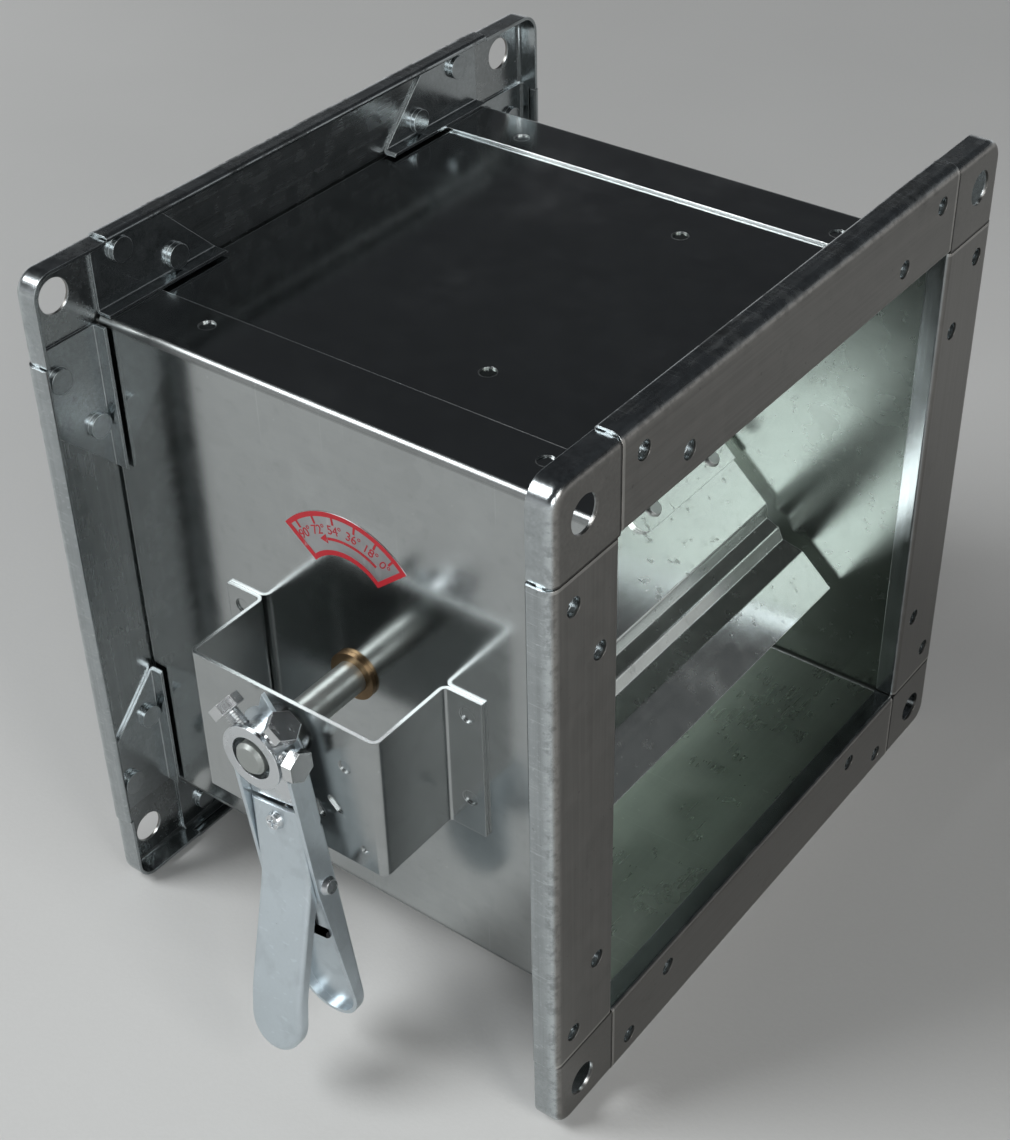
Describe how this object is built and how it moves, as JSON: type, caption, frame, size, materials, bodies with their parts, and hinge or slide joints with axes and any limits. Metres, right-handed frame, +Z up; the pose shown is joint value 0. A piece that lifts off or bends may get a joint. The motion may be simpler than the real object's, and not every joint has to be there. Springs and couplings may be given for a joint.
{
  "type": "manual volume control damper",
  "caption": "Square flanged duct section with a tilting grooved blade on a through shaft, turned by a spring-locked squeeze handle on a side bracket.",
  "frame": {"origin": "centre of the front flange's bolt pattern, on the flange's face and on the duct's centre line", "axes": "+X along the duct, out of the front flange; +Z up; the shaft lies along Y and the handle is on the -Y side"},
  "size_m": [0.208, 0.3078, 0.266],
  "materials": {
    "frame_steel": "rolled galvanised steel, darkened faces with bright worn bends",
    "casing_steel": "galvanised sheet with a soft spangle and fine scratches",
    "bracket_steel": "galvanised sheet, scuffed",
    "blade_steel": "galvanised sheet with spangle, greenish",
    "shaft_steel": "zinc plated bar, dull",
    "lever_zinc": "bluish white zinc plate, satin",
    "bright_zinc": "bright zinc plate",
    "bush_brass": "turned bronze, plain",
    "spring_steel": "blackened spring steel",
    "label_film": "silver film, satin",
    "print_red": "printed red"
  },
  "bodies": {
    "casing": {"front_top_bar": "frame_steel", "front_near_bar": "frame_steel", "front_bottom_bar": "frame_steel", "front_far_bar": "frame_steel", "rear_top_bar": "frame_steel", "rear_near_bar": "frame_steel", "rear_bottom_bar": "frame_steel", "rear_far_bar": "frame_steel", "front_near_top_corner": "frame_steel", "front_near_bottom_corner": "frame_steel", "front_far_top_corner": "frame_steel", "front_far_bottom_corner": "frame_steel", "rear_near_top_corner": "frame_steel", "rear_near_bottom_corner": "frame_steel", "rear_far_top_corner": "frame_steel", "rear_far_bottom_corner": "frame_steel", "casing_near_side": "casing_steel", "casing_far_side": "casing_steel", "casing_top": "casing_steel", "casing_bottom": "casing_steel", "top_blade_stop": "casing_steel", "bottom_blade_stop": "casing_steel", "handle_bracket": "bracket_steel", "dial_label": "label_film", "dial_print": "print_red", "near_bush": "bush_brass", "far_bush": "bush_brass"},
    "blade_and_handle": {"blade": "blade_steel", "near_backing_plate": "blade_steel", "far_backing_plate": "blade_steel", "near_shaft_clamp": "blade_steel", "far_shaft_clamp": "blade_steel", "blade_rivets": "bright_zinc", "shaft": "shaft_steel", "shaft_clip": "spring_steel", "hub_sleeve": "bright_zinc", "clamp_bolts": "bright_zinc", "inner_lever": "lever_zinc", "pivot_rivet": "bright_zinc", "grip_spring": "spring_steel"},
    "grip": {"outer_lever": "lever_zinc", "lock_pin": "bright_zinc"}
  },
  "joints": [
    {"name": "blade_turn", "type": "hinge", "parent": "casing", "child": "blade_and_handle", "pos_m": [-0.104, 0, 0], "axis": [0, 1, 0], "range_deg": [-42, 47.5]},
    {"name": "grip_squeeze", "type": "hinge", "parent": "blade_and_handle", "child": "grip", "pos_m": [-0.09565, -0.146, -0.05274], "axis": [0.9877, 0, 0.1564], "range_deg": [0, 18], "stiffness_Nm_per_rad": 0.4, "springref_deg": -11.46, "deforming": ["grip_spring"]}
  ]
}
